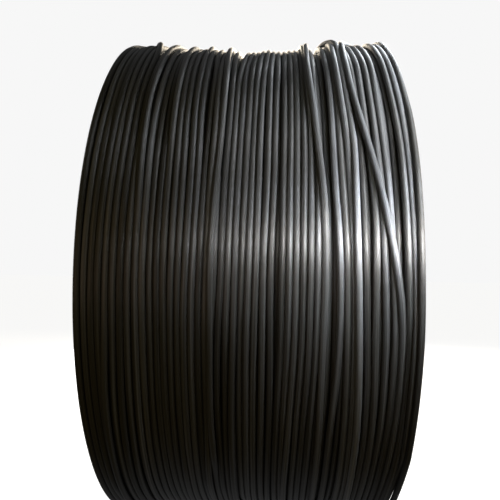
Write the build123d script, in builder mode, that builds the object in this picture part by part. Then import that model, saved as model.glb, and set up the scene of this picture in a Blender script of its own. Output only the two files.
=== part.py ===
from build123d import *
import os
from math import hypot, pi, sqrt

# Coil of round steel wire rod, wound in even layers, standing on its rim.
#
# Frame: millimetres. X runs along the coil's axis, Z is up, and the origin is
# on the floor under the middle of the coil, so the axis is rim_r above it.
#
# The coil is one length of rod, so it is one turned solid with an open bore.
# Every turn of the outer layer is a rounded ridge on the rim, and every layer
# is a rounded ridge on both ends.

# ---------------------------------------------------------------- dimensions
wire_d = 8.0            # diameter of the rod
turns_across = 50       # turns side by side in the outer layer
layers = 17             # layers from the bore out to the rim
layer_pitch = 7.2       # radial step between layers: turns nest in the grooves below
bore_r = 280.0          # radius of the open middle, left by the mandrel
rim_groove = 2.4        # depth of the groove between two turns on the rim

wire_r = wire_d / 2
width = turns_across * wire_d                               # 400 mm along X
rim_r = bore_r + wire_d + (layers - 1) * layer_pitch        # 403.2 mm
half = width / 2

# Two neighbouring layers meet on an end face where their round sections cross.
end_groove = wire_r - sqrt(wire_r ** 2 - (layer_pitch / 2) ** 2)
# A ridge on the rim is an arc over one turn's width, rim_groove high.
ridge_r = (wire_r ** 2 + rim_groove ** 2) / (2 * rim_groove)
quarter_drop = ridge_r - sqrt(ridge_r ** 2 - (wire_r / 2) ** 2)


def layer_r(k):
    """Radius of the centre of layer k, counted from the bore."""
    return bore_r + wire_r + k * layer_pitch


# ------------------------------------------------------------------- section
# Local X is along the coil's axis and local Y is the radius from it.
section_plane = Plane(origin=(0, 0, rim_r), x_dir=(1, 0, 0), z_dir=(0, -1, 0))
coil_axis = Axis((0, 0, rim_r), (1, 0, 0))
diag = wire_r / sqrt(2)

with BuildPart() as wire_coil:
    with BuildSketch(section_plane):
        with BuildLine():
            # the bore wall, on the inner sides of the innermost turns
            Line((-(half - wire_r), bore_r), (half - wire_r, bore_r))

            # both ends, one ridge per layer
            for side in (1, -1):
                groove = (side * (half - end_groove), layer_r(0) + layer_pitch / 2)
                # innermost layer: round from the bore wall to the first groove
                ThreePointArc(
                    (side * (half - wire_r), bore_r),
                    (side * (half - wire_r + diag), layer_r(0) - diag),
                    groove,
                )
                for k in range(1, layers - 1):
                    upper = (side * (half - end_groove), layer_r(k) + layer_pitch / 2)
                    ThreePointArc(groove, (side * half, layer_r(k)), upper)
                    groove = upper
                # outermost layer: round the corner on to the rim
                crest = (side * (half - wire_r), rim_r)
                ThreePointArc(
                    groove,
                    (side * (half - wire_r + diag), layer_r(layers - 1) + diag),
                    crest,
                )
                # the rest of the corner turn, down to the first groove of the rim
                ThreePointArc(
                    crest,
                    (side * (half - wire_r * 1.5), rim_r - quarter_drop),
                    (side * (half - wire_d), rim_r - rim_groove),
                )

            # the rim, one ridge per turn between the two corner turns
            for i in range(1, turns_across - 1):
                x0 = -half + i * wire_d
                ThreePointArc(
                    (x0, rim_r - rim_groove),
                    (x0 + wire_r, rim_r),
                    (x0 + wire_d, rim_r - rim_groove),
                )
        make_face()
    revolve(axis=coil_axis, revolution_arc=360)

wire_coil.part.label = "wire_coil"

# -------------------------------------------------------------------- output
os.makedirs("parts", exist_ok=True)
export_step(wire_coil.part, "parts/wire_coil.step")

# Length and weight of the rod itself, for the record: layers of 50 and 49 turns
# in turn, because each layer lies in the grooves of the one below.
rod_mm = sum(
    (turns_across - k % 2) * hypot(2 * pi * layer_r(k), wire_d) for k in range(layers)
)
rod_kg = rod_mm * pi * wire_r ** 2 * 7.85e-6
box = wire_coil.part.bounding_box()
print(f"width {width:.1f} mm, outer diameter {2 * rim_r:.1f} mm, bore {2 * bore_r:.1f} mm")
print(f"box {box.min} to {box.max}")
print(f"rod: {rod_mm / 1000:.0f} m, {rod_kg:.0f} kg; turned solid {wire_coil.part.volume * 7.85e-6:.0f} kg")
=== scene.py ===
"""The looks of a coil of steel wire rod that stands on its rim.

The rod is wound here turn by turn, as on a mandrel: every turn drops into the
grooves of what already lies there, steps over by one pitch behind the coil,
and rides over its neighbours where it wanders. Only the turns that can be seen
are kept as meshes: the outer layers, the turns next to both ends and the
turns of the bore. Lengths inside wind() are millimetres, all others metres.
"""
import math

import bpy
import numpy as np
from mathutils import Matrix, Vector


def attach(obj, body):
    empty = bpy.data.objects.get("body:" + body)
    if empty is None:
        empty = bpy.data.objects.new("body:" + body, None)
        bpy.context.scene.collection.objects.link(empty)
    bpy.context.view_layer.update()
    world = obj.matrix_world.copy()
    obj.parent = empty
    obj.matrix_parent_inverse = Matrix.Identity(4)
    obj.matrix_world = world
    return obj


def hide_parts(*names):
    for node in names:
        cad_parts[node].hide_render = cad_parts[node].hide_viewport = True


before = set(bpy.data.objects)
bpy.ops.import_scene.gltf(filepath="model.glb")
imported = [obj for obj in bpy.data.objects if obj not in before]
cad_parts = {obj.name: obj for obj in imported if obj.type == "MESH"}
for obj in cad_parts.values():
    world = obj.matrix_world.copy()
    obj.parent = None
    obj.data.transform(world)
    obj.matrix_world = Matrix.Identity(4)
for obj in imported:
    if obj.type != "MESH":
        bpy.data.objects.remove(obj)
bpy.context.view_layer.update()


# ------------------------------------------------------------------ the coil
ROD_R = 4.0  # radius of the rod
HALF = 200.0  # half the coil's width
BORE = 280.0  # radius of the open middle
RIM = 403.2  # radius of the rim, and height of the coil's axis
LAYERS = 17
SLICES = 180  # samples along each turn
START = math.radians(200)  # every turn begins behind the coil, a bit below its axis
PITCH = 2 * (HALF - ROD_R) / 46  # between the turns of a layer: a little more than the rod


# Angles round the coil are counted from the front (-Y) upwards: 90 degrees is
# the top and 180 the back.


# Where each turn of the outer layer lies along the axis, in mm, at these angles
# of the front.
SEEN_AT = (60, 46, 34, 22, 12, 2, -10, -24, -42)
SEEN = np.array([
    (-194,-192,-190,-192,-194,-195,-194,-193,-196),
    (-186,-184,-181,-183,-185,-187,-186,-185,-189),
    (-178,-176,-174,-175,-177,-179,-178,-177,-182),
    (-169,-168,-166,-167,-169,-171,-170,-170,-174),
    (-161,-160,-160,-160,-162,-164,-162,-163,-167),
    (-153,-151,-153,-153,-154,-156,-154,-157,-160),
    (-145,-144,-145,-146,-147,-149,-146,-149,-153),
    (-137,-137,-138,-138,-140,-141,-138,-139,-143),
    (-130,-130,-131,-131,-132,-132,-128,-129,-132),
    (-122,-122,-122,-122,-123,-124,-120,-120,-122),
    (-115,-114,-113,-111,-114,-115,-113,-113,-114),
    (-107,-106,-105,-103,-106,-106,-105,-105,-106),
    (-99,-99,-98,-96,-94,-97,-96,-97,-97),
    (-91,-91,-91,-86,-86,-87,-88,-90,-89),
    (-84,-83,-84,-78,-78,-79,-81,-81,-81),
    (-75,-74,-74,-71,-71,-72,-74,-73,-75),
    (-65,-64,-64,-62,-64,-66,-66,-66,-68),
    (-55,-55,-54,-53,-57,-58,-57,-58,-60),
    (-45,-47,-45,-43,-48,-51,-49,-50,-53),
    (-36,-37,-36,-35,-40,-42,-42,-43,-45),
    (-26,-27,-27,-28,-31,-33,-34,-35,-36),
    (-18,-19,-19,-20,-23,-25,-24,-26,-27),
    (-9,-11,-12,-12,-14,-13,-14,-17,-17),
    (-1,-2,-4,-5,-6,-5,-6,-7,-8),
    (7,7,5,4,3,3,1,1,0),
    (15,16,14,13,12,12,11,9,7),
    (22,24,24,23,22,20,20,19,18),
    (32,34,32,30,29,28,30,29,28),
    (42,43,40,40,40,40,40,37,35),
    (50,50,50,51,48,50,49,45,43),
    (57,58,58,59,58,58,58,54,50),
    (65,65,66,68,66,67,67,62,60),
    (73,74,74,76,75,75,75,69,69),
    (83,83,82,82,84,83,81,78,77),
    (92,91,90,90,92,91,89,88,88),
    (99,99,99,99,100,102,104,100,100),
    (107,106,107,108,110,111,113,116,118),
    (115,113,114,118,120,120,122,126,127),
    (122,123,123,126,127,128,130,134,134),
    (132,133,132,134,137,138,138,144,142),
    (141,143,140,142,146,147,147,152,151),
    (151,152,149,151,155,156,159,161,158),
    (160,161,157,161,163,165,170,170,165),
    (170,169,168,170,170,173,178,177,172),
    (178,177,176,178,179,181,185,183,178),
    (186,183,184,186,188,189,190,190,185),
    (194,192,193,195,195,196,196,196,193),
], float)
# Turns that stray sideways over their neighbours: turn, the angles between which
# it stays out, stretch in degrees below and above them, and how far in mm.
STRAY = ((34, 44, 62, 46, 30, -20), (43, 44, 64, 50, 15, -44))
# Turns that cross to another place at the top and arch over what lies between:
# turn, angle of the middle, half the stretch in degrees, how far and how clear, mm.
ARCHES = ((6, 70, 10, -36, 0), (14, 71, 12, 18, 0), (38, 70, 10, -20, 0))
SADDLE = (-20.5, 7.0, 45.0)  # a gap on the top: place, half width and reach, mm
# Gaps between two turns of the front: place in mm, from and to angle, half width
# and reach in mm.
GAPS = (
    (-126, 30, 60, 3, 12), (-58, 25, 50, 2.5, 12), (18, 14, 42, 2, 10), (35, 20, 42, 3, 10),
    (31, -16, 8, 2, 8), (-27, -28, -4, 2, 8), (88, 18, 42, 3, 10), (100, -24, 10, 4, 12),
    (128, 22, 60, 3, 10), (143, 0, 50, 3, 10), (178, -5, 30, 2.5, 9), (-92, -30, 10, 1.5, 8),
)

for column in SEEN.T:  # the end turns lie at the very ends
    low, high = -HALF + ROD_R - column[0], HALF - ROD_R - column[-1]
    column += low * np.exp((column[0] - column) / 30) + high * np.exp((column - column[-1]) / 30)


def smooth_step(t):
    t = np.clip(t, 0, 1)
    return t * t * (3 - 2 * t)


def wander(rng, count, cell):
    """Smooth noise along the rod, with one knot every cell samples."""
    knots = rng.standard_normal(int(count / cell) + 4)
    t = np.arange(count) / cell
    i = t.astype(int)
    f = smooth_step(t - i)
    return knots[i] * (1 - f) + knots[i + 1] * f


def height_over(x, X, R, gap):
    """How far out a rod at x rests on the rods at X, whose centres are R out."""
    d = np.abs(x - X)
    return np.where(d < gap, R + np.sqrt(np.maximum(gap * gap - d * d, 0)), 0)


def wind():
    """Winds the whole coil. Returns x, radius and layer of every turn's samples."""
    rng = np.random.default_rng(4)
    n_cand, step = 31, 0.5
    gap = 2 * ROD_R + 0.04
    off = (np.arange(n_cand) - n_cand // 2) * step
    along = np.arange(SLICES) / SLICES
    kernel = np.array([1, 2, 3, 4, 3, 2, 1.0])
    kernel /= kernel.sum()
    xs, rs, lay = [], [], []
    x_end = r_end = None
    pitch = PITCH
    angle = np.degrees(START) - 360 + 360 * along
    seen = smooth_step((angle + 86) / 40) * (1 - smooth_step((angle - 72) / 40))
    for layer in range(LAYERS):
        way = 1 if layer % 2 == 0 else -1
        turns = int((2 * HALF - 2 * ROD_R) / pitch) + 1 - layer % 2
        first = -way * (turns - 1) * pitch / 2
        outer = layer == LAYERS - 1
        loose = (0.9, 1.4, 2.0)[max(0, layer - LAYERS + 3)]
        count = turns * SLICES + 8
        noise = loose * 1.1 * (
            0.9 * wander(rng, count, SLICES * 2.3)
            + 0.8 * wander(rng, count, SLICES * 0.6)
            + 0.55 * wander(rng, count, SLICES * 0.21)
            + 0.16 * wander(rng, count, SLICES * 0.06)
        )
        over = 0.86 + 0.03 * rng.standard_normal()
        for j in range(turns):
            start = first + way * pitch * j
            goal = start + way * pitch * smooth_step((along - over) / 0.1)
            free = noise[j * SLICES : (j + 1) * SLICES] * min(1, 0.1 + (HALF - ROD_R - abs(start)) / 45)
            pull = np.full(SLICES, 0.3)
            arch = 0
            if outer:
                place = np.interp(angle, SEEN_AT[::-1], SEEN[j][::-1])
                top = smooth_step((angle - 42) / 18)
                side = place - SADDLE[0]
                place = place + top * np.sign(side) * SADDLE[1] * np.exp(-np.abs(side) / SADDLE[2])
                for at, low, high, wide, reach in GAPS:
                    part = smooth_step((angle - low + 8) / 16) * smooth_step((high + 8 - angle) / 16)
                    side = place - at
                    place = place + part * np.sign(side) * wide * np.exp(-np.abs(side) / reach)
                goal = goal + seen * (place - start) + (1 - 0.45 * seen) * free
                pull = pull + 0.5 * seen
                for turn, low, high, below, above, far in STRAY:
                    if turn == j:
                        away = np.maximum(np.maximum((low - angle) / below, (angle - high) / above), 0)
                        goal = goal + far * smooth_step(1 - away)
                for turn, at, spread, far, clear in ARCHES:
                    if turn == j:
                        gone = smooth_step((angle - at + spread) / (2 * spread))
                        goal = goal + far * gone * (1 - smooth_step((angle - at - spread - 4) / 26))
                        arch = clear * smooth_step(1 - np.abs(angle - at) / spread)
            else:
                goal = goal + free
            goal = np.clip(goal, -HALF + ROD_R, HALF - ROD_R)
            cand = goal[:, None] + off[None, :]
            near = range(max(0, len(xs) - 2 * turns - 6), len(xs))
            high = np.full(cand.shape, BORE + ROD_R)
            for i in near:
                np.maximum(high, height_over(cand, xs[i][:, None], rs[i][:, None], gap), out=high)
            low = np.sort(high, axis=1)[:, 3:4]
            cost = high - low + pull[:, None] * off[None, :] ** 2
            cost = cost + 0.06 * np.maximum(0, high - (RIM - ROD_R)) ** 2
            cost = cost + 50.0 * (np.abs(cand) > HALF - ROD_R)
            best = cost[0] + (3.0 * (cand[0] - x_end) ** 2 if x_end is not None else 0)
            back = np.zeros((SLICES, n_cand), int)
            for k in range(1, SLICES):
                move = best[None, :] + 3.0 * (cand[k][:, None] - cand[k - 1][None, :]) ** 2
                back[k] = np.argmin(move, axis=1)
                best = move[np.arange(n_cand), back[k]] + cost[k]
            pick = np.empty(SLICES, int)
            pick[-1] = int(np.argmin(best))
            for k in range(SLICES - 1, 0, -1):
                pick[k - 1] = back[k][pick[k]]
            x = cand[np.arange(SLICES), pick]
            before = x[0] if x_end is None else x_end
            x = np.convolve(np.concatenate([[before] * 3, x, [x[-1]] * 3]), kernel, "valid")
            x = np.clip(x, -HALF + ROD_R, HALF - ROD_R)
            r = np.full(SLICES, BORE + ROD_R)
            for i in near:
                np.maximum(r, height_over(x, xs[i], rs[i], gap), out=r)
            # where the rod turns back at an end it lies a little looser
            r = r + 0.4 * np.exp((np.abs(x) - HALF + ROD_R) / 10)
            # the rod is stiff: it bridges dips, and climbs before a crossing
            before = r[0] if r_end is None else r_end
            least = np.concatenate([[before] * 2, r, [r[-1]] * 2])
            lift = least.copy()
            for _ in range(5):
                soft = np.convolve(lift, [0.25, 0.5, 0.25], "same")
                soft[0], soft[-1] = lift[0], lift[-1]
                lift = np.maximum(soft, least)
            r = lift[2:-2] + arch
            xs.append(x)
            rs.append(r)
            lay.append(layer)
            x_end, r_end = x[-1], r[-1]
    return np.array(xs), np.array(rs), np.array(lay)


X, R, LAYER = wind()
# the layers are pressed closer in the middle than at the ends
PRESS = ((-200, 1.01), (-150, 1.0), (-112, 0.965), (-60, 0.95), (-20, 0.92), (20, 0.935), (70, 0.945), (110, 0.975), (150, 0.995), (200, 1.01))
R = BORE + ROD_R + (R - BORE - ROD_R) * np.interp(X, *np.array(PRESS).T)
# and they bed down evenly all the way round
outer = LAYER == LAYERS - 1
around = np.degrees(START) - 360 + 360 * np.arange(SLICES) / SLICES
build = R[outer].mean(0) - BORE - ROD_R
build = np.convolve(np.concatenate([build[-4:], build, build[:4]]), np.ones(9) / 9, "valid")
front = build[(around > -46) & (around < 66)].mean()
print("build", np.round(build[::10], 1), "front", round(float(front), 1))
R = BORE + ROD_R + (R - BORE - ROD_R) * (front / build)
# a turn that crosses its neighbours stands at most one rod proud of them
near = np.exp(-(((X[outer][:, None] - X[outer][None]) / 14) ** 2))
level = (near * R[outer][None]).sum(1) / near.sum(1)
proud = R[outer] - level
R[outer] = level + np.where(proud > 2, 2 + 3 * np.tanh((proud - 2) / 5), proud)
# the coil's own weight presses the turns that it stands on flat
R = np.minimum(R, (RIM - ROD_R) / np.maximum(0.5, -np.sin(START + 2 * np.pi * np.arange(SLICES) / SLICES)))
AXIS = np.array([0.0, 0.0, RIM / 1000])


# ------------------------------------------------------------------- meshes
def sampled(start, end, per_turn):
    """Points of the rod from sample start to sample end of the whole winding."""
    x, r = X.ravel(), R.ravel()
    n = max(2, int(round((end - start) * per_turn / SLICES)) + 1)
    t = np.linspace(start, end, n)
    i = np.clip(t.astype(int), 0, len(x) - 1)
    f = t - i
    at = lambda a, k: a[np.clip(i + k, 0, len(a) - 1)]

    def curve(a):
        p0, p1, p2, p3 = at(a, -1), at(a, 0), at(a, 1), at(a, 2)
        return p1 + 0.5 * f * (
            p2 - p0 + f * (2 * p0 - 5 * p1 + 4 * p2 - p3 + f * (3 * (p1 - p2) + p3 - p0))
        )

    return t, curve(x) / 1000, curve(r) / 1000


def tube(start, end, per_turn, sides, radius):
    """One stretch of rod: its points, quads and both UV maps' ingredients."""
    t, x, r = sampled(start, end, per_turn)
    a = START + 2 * np.pi * t / SLICES
    out = np.stack([np.zeros_like(a), -np.cos(a), np.sin(a)], 1)
    centre = AXIS + out * r[:, None] + np.array([1.0, 0, 0]) * x[:, None]
    tangent = np.gradient(centre, axis=0)
    tangent /= np.linalg.norm(tangent, axis=1)[:, None]
    n1 = out - (out * tangent).sum(1)[:, None] * tangent
    n1 /= np.linalg.norm(n1, axis=1)[:, None]
    n2 = np.cross(tangent, n1)
    # the seam lies on the inner side, towards the coil's axis
    p = 2 * np.pi * np.arange(sides) / sides + np.pi
    ring = np.cos(p)[None, :, None] * n1[:, None, :] + np.sin(p)[None, :, None] * n2[:, None, :]
    points = (centre[:, None, :] + radius * ring).reshape(-1, 3)
    m = len(t)
    k, s = np.meshgrid(np.arange(m - 1), np.arange(sides), indexing="ij")
    s2 = (s + 1) % sides
    quads = np.stack([k * sides + s, k * sides + s2, (k + 1) * sides + s2, (k + 1) * sides + s], -1)
    length = t * (2 * np.pi * 0.4 / SLICES)
    u = np.stack([length[k], length[k], length[k + 1], length[k + 1]], -1)
    v = np.stack([s, s + 1, s + 1, s], -1) / sides
    caps = [list(range(sides)), list(range((m - 1) * sides, m * sides))[::-1]]
    strip = ((t[k] - t[0]) / SLICES).astype(int)
    local = np.stack([t[k], t[k], t[k + 1], t[k + 1]], -1) - t[0]
    local = local / SLICES - strip[..., None]
    return points, quads.reshape(-1, 4), u.reshape(-1), v.reshape(-1), caps, strip.reshape(-1), local.reshape(-1, 4)


def rod_piece(name, stretches, per_turn, sides):
    """Joins stretches of rod into one mesh object."""
    radius = ROD_R / 1000 / math.sqrt(math.cos(math.pi / sides))
    points, polys, uv, bake, base, row = [], [], [], [], 0, 0
    rows = []
    for start, end in stretches:
        p, q, u, v, caps, strip, local = tube(start, end, per_turn, sides, radius)
        points.append(p)
        polys.append((q + base, [[c + base for c in cap] for cap in caps]))
        uv.append((u, v))
        bake.append((strip + row, local, v.reshape(-1, 4)))
        rows.append(row)
        row += int(strip.max()) + 1
        base += len(p)
    total = row
    loops, starts, uvs, bakes, at = [], [], [], [], 0
    for (q, caps), (u, v), (strip, local, vv) in zip(polys, uv, bake):
        loops.append(q.reshape(-1))
        starts.append(at + 4 * np.arange(len(q)))
        at += 4 * len(q)
        uvs.append(np.stack([u, v], 1))
        low = (strip[:, None] + 0.06 + 0.88 * vv) / total
        bakes.append(np.stack([0.004 + 0.992 * np.clip(local, 0, 1), low], -1).reshape(-1, 2))
        for cap in caps:
            # a cap is hidden inside the coil, so it takes no room on the map
            loops.append(np.array(cap))
            starts.append(np.array([at]))
            at += len(cap)
            uvs.append(np.tile([u[0], 0.5], (len(cap), 1)))
            a = np.arange(len(cap)) / len(cap) * 2 * np.pi
            bakes.append(np.stack([0.0015 + 0.001 * np.cos(a), 0.5 + 0.001 * np.sin(a)], 1))
    co = np.concatenate(points).astype(np.float32)
    loops = np.concatenate(loops).astype(np.int32)
    starts = np.concatenate(starts).astype(np.int32)
    me = bpy.data.meshes.new(name)
    me.vertices.add(len(co))
    me.vertices.foreach_set("co", co.ravel())
    me.loops.add(len(loops))
    me.loops.foreach_set("vertex_index", loops)
    me.polygons.add(len(starts))
    me.polygons.foreach_set("loop_start", starts)
    me.update(calc_edges=True)
    me.polygons.foreach_set("use_smooth", np.diff(np.append(starts, len(loops))) == 4)
    for label, data in (("rod", uvs), ("OFBake", bakes)):
        layer = me.uv_layers.new(name=label)
        layer.data.foreach_set("uv", np.concatenate(data).astype(np.float32).ravel())
    me.uv_layers.active = me.uv_layers["rod"]
    me.uv_layers["rod"].active_render = True
    me.validate()
    ob = bpy.data.objects.new(name, me)
    bpy.context.scene.collection.objects.link(ob)
    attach(ob, "root")
    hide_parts("wire_coil")
    return ob


def whole_layer(layer):
    turns = np.nonzero(LAYER == layer)[0]
    return turns[0] * SLICES, min((turns[-1] + 1) * SLICES, len(X) * SLICES - 1)


def near_end(side, layers, depth):
    """Stretches of the given layers that lie within depth of one end."""
    found = []
    for layer in layers:
        a, b = whole_layer(layer)
        inside = side * X.ravel()[a:b] > HALF - depth
        edge = np.flatnonzero(np.diff(np.concatenate([[0], inside.astype(int), [0]])))
        found += [(a + s, a + e - 1) for s, e in zip(edge[::2], edge[1::2]) if e - s > 3]
    joined = []
    for s, e in found:  # the rod climbs from layer to layer without a break
        if joined and s - joined[-1][1] <= 2:
            joined[-1] = (joined[-1][0], e)
        else:
            joined.append((s, e))
    return joined


top = whole_layer(LAYERS - 1)
# the two halves of the outer layer meet underneath, where the coil stands
middle = top[0] + (top[1] - top[0]) // (2 * SLICES) * SLICES + round(SLICES * 70 / 360)
pieces = [
    rod_piece("rod_outer_left", [(middle, top[1])] if (LAYERS - 1) % 2 else [(top[0], middle)], 240, 10),
    rod_piece("rod_outer_right", [(top[0], middle)] if (LAYERS - 1) % 2 else [(middle, top[1])], 240, 10),
    rod_piece("rod_second_layer", [whole_layer(LAYERS - 2)], 180, 10),
    rod_piece("rod_third_layer", [whole_layer(LAYERS - 3)], 144, 8),
    rod_piece("rod_end_left", near_end(-1, range(2, LAYERS - 3), 26), 132, 8),
    rod_piece("rod_end_right", near_end(1, range(2, LAYERS - 3), 26), 132, 8),
    rod_piece("rod_bore", [whole_layer(0)], 132, 8),
    rod_piece("rod_bore_second", [whole_layer(1)], 96, 6),
]
print("triangles", {p.name: sum(len(f.vertices) - 2 for f in p.data.polygons) for p in pieces})
front = np.abs(np.degrees(START) - 360 + 360 * np.arange(SLICES) / SLICES - 66).argmin()
print("crests at the top", [(int(X[k][front]), int(R[k][front] + ROD_R)) for k in np.flatnonzero(LAYER == LAYERS - 1)])
print("rim", [round(float(f(R[LAYER == LAYERS - 1] + ROD_R)), 1) for f in (np.min, np.mean, np.max)])


# ---------------------------------------------------------------- materials
def nodes_of(material):
    material.use_nodes = True
    tree = material.node_tree
    tree.nodes.clear()
    return tree, tree.nodes, tree.links


def steel():
    mat = bpy.data.materials.new("rod_steel")
    tree, nodes, links = nodes_of(mat)
    new = nodes.new

    def math_node(op, a, b=None):
        n = new("ShaderNodeMath")
        n.operation = op
        for i, v in enumerate((a, b)):
            if v is None:
                continue
            if isinstance(v, (int, float)):
                n.inputs[i].default_value = v
            else:
                links.new(v, n.inputs[i])
        return n.outputs[0]

    out = new("ShaderNodeOutputMaterial")
    bsdf = new("ShaderNodeBsdfPrincipled")
    links.new(bsdf.outputs[0], out.inputs[0])
    uv = new("ShaderNodeUVMap")
    uv.uv_map = "rod"
    part = new("ShaderNodeSeparateXYZ")
    links.new(uv.outputs[0], part.inputs[0])
    length, around = part.outputs[0], part.outputs[1]
    turn = math_node("MULTIPLY", around, 2 * math.pi)
    ring_a, ring_b = math_node("COSINE", turn), math_node("SINE", turn)

    def along(per_metre, across, detail=3.0, rough=0.55):
        """Noise that is long along the rod and short around it."""
        xyz = new("ShaderNodeCombineXYZ")
        links.new(math_node("MULTIPLY", length, per_metre), xyz.inputs[0])
        links.new(math_node("MULTIPLY", ring_a, across), xyz.inputs[1])
        links.new(math_node("MULTIPLY", ring_b, across), xyz.inputs[2])
        n = new("ShaderNodeTexNoise")
        n.inputs["Scale"].default_value = 1.0
        n.inputs["Detail"].default_value = detail
        n.inputs["Roughness"].default_value = rough
        links.new(xyz.outputs[0], n.inputs["Vector"])
        return n.outputs["Fac"]

    draw = along(9.0, 5.5, 4.0)  # lengthwise marks of the drawing die
    film = along(2.2, 0.5, 3.0)  # uneven oxide and lubricant film
    tone = along(0.35, 0.05, 1.0)  # slow change from turn to turn
    streak = along(1.3, 1.9, 2.0)  # long narrow streaks where the scale is thinner
    fleck = along(260.0, 2.6, 2.0, 0.7)  # small rust and dust flecks

    def ramp(source, stops):
        n = new("ShaderNodeValToRGB")
        while len(n.color_ramp.elements) < len(stops):
            n.color_ramp.elements.new(0.5)
        for e, (pos, col) in zip(n.color_ramp.elements, stops):
            e.position = pos
            e.color = (*col, 1) if len(col) == 3 else col
        links.new(source, n.inputs[0])
        return n.outputs[0]

    def mix(factor, a, b, blend="MIX"):
        n = new("ShaderNodeMix")
        n.data_type = "RGBA"
        n.blend_type = blend
        if isinstance(factor, (int, float)):
            n.inputs[0].default_value = factor
        else:
            links.new(factor, n.inputs[0])
        for i, v in ((6, a), (7, b)):
            if isinstance(v, tuple):
                n.inputs[i].default_value = (*v, 1)
            else:
                links.new(v, n.inputs[i])
        return n.outputs[2]

    body = ramp(film, [(0.3, (0.075, 0.073, 0.069)), (0.5, (0.105, 0.105, 0.104)), (0.7, (0.14, 0.143, 0.15))])
    marks = ramp(draw, [(0.32, (0.72, 0.72, 0.72)), (0.6, (1.1, 1.1, 1.1))])
    body = mix(1.0, body, marks, "MULTIPLY")
    shade = ramp(tone, [(0.34, (0.5, 0.485, 0.455)), (0.66, (1.45, 1.48, 1.53))])
    body = mix(1.0, body, shade, "MULTIPLY")
    lines = ramp(streak, [(0.36, (0.62, 0.61, 0.59)), (0.64, (1.36, 1.37, 1.4))])
    body = mix(1.0, body, lines, "MULTIPLY")
    # painted highlight: three turns side by side near the right end get a lighter base colour, which stands in for the
    # broad highlight that lies on them
    turn_long = 2 * math.pi * 0.4
    painted_highlight_at = (np.flatnonzero(LAYER == LAYERS - 1)[0] + 37.44) * turn_long
    painted_highlight = new("ShaderNodeMapRange")
    painted_highlight.interpolation_type = "SMOOTHSTEP"
    links.new(math_node("ABSOLUTE", math_node("SUBTRACT", length, float(painted_highlight_at))), painted_highlight.inputs["Value"])
    for name, v in (("From Min", 1.35 * turn_long), ("From Max", 1.65 * turn_long), ("To Min", 1.0), ("To Max", 0.0)):
        painted_highlight.inputs[name].default_value = v
    body = mix(painted_highlight.outputs[0], body, mix(1.0, body, (1.75, 1.78, 1.82), "MULTIPLY"))
    spots = ramp(fleck, [(0.70, (0, 0, 0)), (0.78, (1, 1, 1))])
    body = mix(math_node("MULTIPLY", spots, 0.5), body, (0.16, 0.085, 0.04))
    links.new(body, bsdf.inputs["Base Color"])
    bsdf.inputs["Metallic"].default_value = 0.75
    # drawing marks run along the rod, so its gloss spreads round it
    bsdf.inputs["Anisotropic"].default_value = 0.9
    bsdf.inputs["Anisotropic Rotation"].default_value = 0.25
    grain = new("ShaderNodeTangent")
    grain.direction_type = "UV_MAP"
    grain.uv_map = "rod"
    links.new(grain.outputs[0], bsdf.inputs["Tangent"])
    bsdf.inputs["Coat Weight"].default_value = 0.1
    bsdf.inputs["Coat Roughness"].default_value = 0.13
    rough = math_node("ADD", math_node("MULTIPLY", draw, 0.16), math_node("MULTIPLY", film, 0.18))
    rough = math_node("ADD", rough, math_node("MULTIPLY", tone, 0.14))
    rough = math_node("ADD", rough, 0.26)
    rough = math_node("ADD", rough, math_node("MULTIPLY", spots, 0.25))
    links.new(rough, bsdf.inputs["Roughness"])
    bump = new("ShaderNodeBump")
    bump.inputs["Strength"].default_value = 0.25
    bump.inputs["Distance"].default_value = 0.0002
    links.new(draw, bump.inputs["Height"])
    links.new(bump.outputs[0], bsdf.inputs["Normal"])
    return mat


rod_steel = steel()
for ob in pieces:
    ob.data.materials.append(rod_steel)


# -------------------------------------------------------------------- stage
def pale():
    mat = bpy.data.materials.new("pale_floor")
    tree, nodes, links = nodes_of(mat)
    out = nodes.new("ShaderNodeOutputMaterial")
    bsdf = nodes.new("ShaderNodeBsdfPrincipled")
    bsdf.inputs["Base Color"].default_value = (0.4, 0.4, 0.4, 1)
    bsdf.inputs["Roughness"].default_value = 0.9
    bsdf.inputs["Specular IOR Level"].default_value = 0.1
    bsdf.inputs["Emission Color"].default_value = (1, 1, 1, 1)
    bsdf.inputs["Emission Strength"].default_value = 0.90
    links.new(bsdf.outputs[0], out.inputs[0])
    return mat


me = bpy.data.meshes.new("floor")
me.from_pydata([(-40, -40, 0), (40, -40, 0), (40, 40, 0), (-40, 40, 0)], [], [(0, 1, 2, 3)])
floor = bpy.data.objects.new("floor", me)
bpy.context.scene.collection.objects.link(floor)
me.materials.append(pale())
floor.visible_glossy = False
floor.visible_diffuse = False


def softbox(name, place, aim, wide, tall, watts, colour=(1, 1, 1), spread=180):
    data = bpy.data.lights.new(name, "AREA")
    data.shape = "RECTANGLE"
    data.size, data.size_y = wide, tall
    data.energy = watts
    data.color = colour
    data.spread = math.radians(spread)
    ob = bpy.data.objects.new(name, data)
    bpy.context.scene.collection.objects.link(ob)
    ob.location = place
    ob.visible_camera = False
    ob.rotation_euler = (Vector(aim) - Vector(place)).to_track_quat("-Z", "Y").to_euler()
    return ob


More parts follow.
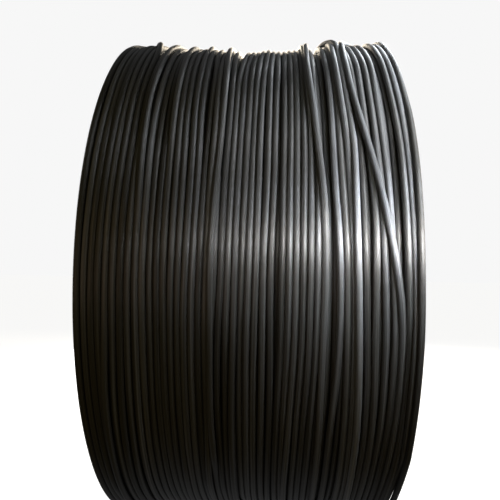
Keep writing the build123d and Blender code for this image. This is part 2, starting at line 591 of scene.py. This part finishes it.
# a window beyond the right end: bright near it, and fading towards the left
softbox("spark", (0.60, -0.75, 0.56), (0.07, -0.4, 0.435), 0.05, 0.04, 0.014, spread=20)
softbox("key", (0.60, -0.75, 0.56), (0.30, -0.4, 0.46), 0.24, 0.16, 0.33, (0.9, 0.93, 1.0), spread=31)
softbox("middle", (0.52, -0.98, 0.61), (0.24, -0.4, 0.46), 0.26, 0.14, 0.13, (1.0, 0.88, 0.76), spread=30)
softbox("front", (0.40, -1.22, 0.66), (0.24, -0.4, 0.46), 0.28, 0.12, 0.36, (0.97, 0.99, 1.0), spread=28)
softbox("near_up", (0.46, -0.62, 0.70), (0.30, -0.38, 0.52), 0.2, 0.2, 0.72, (0.88, 0.93, 1.0), spread=60)
softbox("low", (0.5, -1.0, 0.25), (0.24, -0.38, 0.36), 0.3, 0.3, 0.06, (0.8, 0.95, 1.0), spread=40)
softbox("sky_front", (0.42, -0.5, 0.95), (0.28, -0.34, 0.62), 0.3, 0.3, 0.48, (0.95, 0.97, 1.0), spread=70)
softbox("sky_over", (0.42, -0.25, 1.05), (0.28, -0.28, 0.70), 0.3, 0.3, 0.32, (0.9, 0.95, 1.0), spread=70)
softbox("sky_rear", (0.40, 0.1, 1.05), (0.28, -0.18, 0.76), 0.3, 0.3, 0.42, (0.9, 0.95, 1.0), spread=70)
softbox("warm", (-0.6, -1.5, 0.8), (-0.1, -0.4, 0.42), 0.8, 0.5, 0.06, (1.0, 0.68, 0.36), spread=60)
softbox("warm_low", (-0.5, -1.5, 0.3), (-0.05, -0.38, 0.35), 1.0, 0.4, 0.09, (1.0, 0.68, 0.5), spread=70)
# the room behind the coil and beyond its ends
softbox("back", (0.2, 1.7, 1.2), (0, 0.2, 0.4), 1.2, 1.2, 34, (1.0, 0.88, 0.7))
softbox("back_low", (-0.6, 1.8, 0.5), (0, 0.2, 0.35), 1.4, 0.8, 30, (0.95, 0.97, 1.0))
softbox("end_left", (-1.5, 0.6, 0.8), (-0.2, 0.1, 0.4), 1.0, 1.2, 12)
softbox("end_right", (1.6, 0.5, 0.9), (0.2, 0.05, 0.42), 1.0, 1.2, 10, (1.0, 0.92, 0.8))


def surroundings():
    world = bpy.data.worlds.new("studio")
    bpy.context.scene.world = world
    world.use_nodes = True
    tree = world.node_tree
    nodes, links = tree.nodes, tree.links
    nodes.clear()
    out = nodes.new("ShaderNodeOutputWorld")
    mixer = nodes.new("ShaderNodeMixShader")
    seen = nodes.new("ShaderNodeBackground")
    seen.inputs[0].default_value = (0.93, 0.93, 0.93, 1)
    seen.inputs[1].default_value = 1.0
    room = nodes.new("ShaderNodeBackground")
    path = nodes.new("ShaderNodeLightPath")
    place = nodes.new("ShaderNodeTexCoord")
    dot = nodes.new("ShaderNodeVectorMath")
    dot.operation = "DOT_PRODUCT"
    dot.inputs[1].default_value = (0.62, -0.25, 0.74)
    links.new(place.outputs["Generated"], dot.inputs[0])
    ramp = nodes.new("ShaderNodeValToRGB")
    stops = [(0.0, (0.028, 0.021, 0.0078)), (0.35, (0.072, 0.053, 0.02)), (0.7, (0.084, 0.068, 0.029)), (1.0, (0.1, 0.094, 0.052))]
    while len(ramp.color_ramp.elements) < len(stops):
        ramp.color_ramp.elements.new(0.5)
    for e, (pos, col) in zip(ramp.color_ramp.elements, stops):
        e.position, e.color = pos, (*col, 1)
    span = nodes.new("ShaderNodeMapRange")
    span.inputs["From Min"].default_value = -1
    span.inputs["From Max"].default_value = 1
    links.new(dot.outputs["Value"], span.inputs["Value"])
    links.new(span.outputs[0], ramp.inputs[0])
    # the light from behind is plain grey
    behind = nodes.new("ShaderNodeVectorMath")
    behind.operation = "DOT_PRODUCT"
    behind.inputs[1].default_value = (0, 1, 0)
    links.new(place.outputs["Generated"], behind.inputs[0])
    share = nodes.new("ShaderNodeMapRange")
    share.inputs["From Min"].default_value = 0.0
    share.inputs["From Max"].default_value = 0.4
    links.new(behind.outputs["Value"], share.inputs["Value"])
    blend = nodes.new("ShaderNodeMix")
    blend.data_type = "RGBA"
    links.new(share.outputs[0], blend.inputs[0])
    links.new(ramp.outputs[0], blend.inputs[6])
    blend.inputs[7].default_value = (0.085, 0.087, 0.09, 1)
    links.new(blend.outputs[2], room.inputs[0])
    room.inputs[1].default_value = 1.0
    links.new(path.outputs["Is Camera Ray"], mixer.inputs[0])
    links.new(room.outputs[0], mixer.inputs[1])
    links.new(seen.outputs[0], mixer.inputs[2])
    links.new(mixer.outputs[0], out.inputs[0])


surroundings()
bpy.context.scene.view_settings.view_transform = "Standard"

# ------------------------------------------------------------------- camera
yaw, pitch, roll = -0.0409, -0.0451, 0.0166
ahead = Vector((math.sin(yaw) * math.cos(pitch), math.cos(yaw) * math.cos(pitch), -math.sin(pitch)))
right = Vector((math.cos(yaw), -math.sin(yaw), 0))
up = right.cross(ahead)
right, up = right * math.cos(roll) + up * math.sin(roll), up * math.cos(roll) - right * math.sin(roll)
cam = bpy.data.cameras.new("camera")
cam.sensor_width = 36
cam.lens = 36 * 524.6 / 500
cam.clip_start = 0.01
cam_ob = bpy.data.objects.new("camera", cam)
bpy.context.scene.collection.objects.link(cam_ob)
turned = Matrix((right, up, -ahead)).transposed().to_4x4()
cam_ob.matrix_world = Matrix.Translation((0.072 * RIM / 1000, -2.4864 * RIM / 1000, RIM / 1000)) @ turned
bpy.context.scene.camera = cam_ob

bpy.context.view_layer.update()
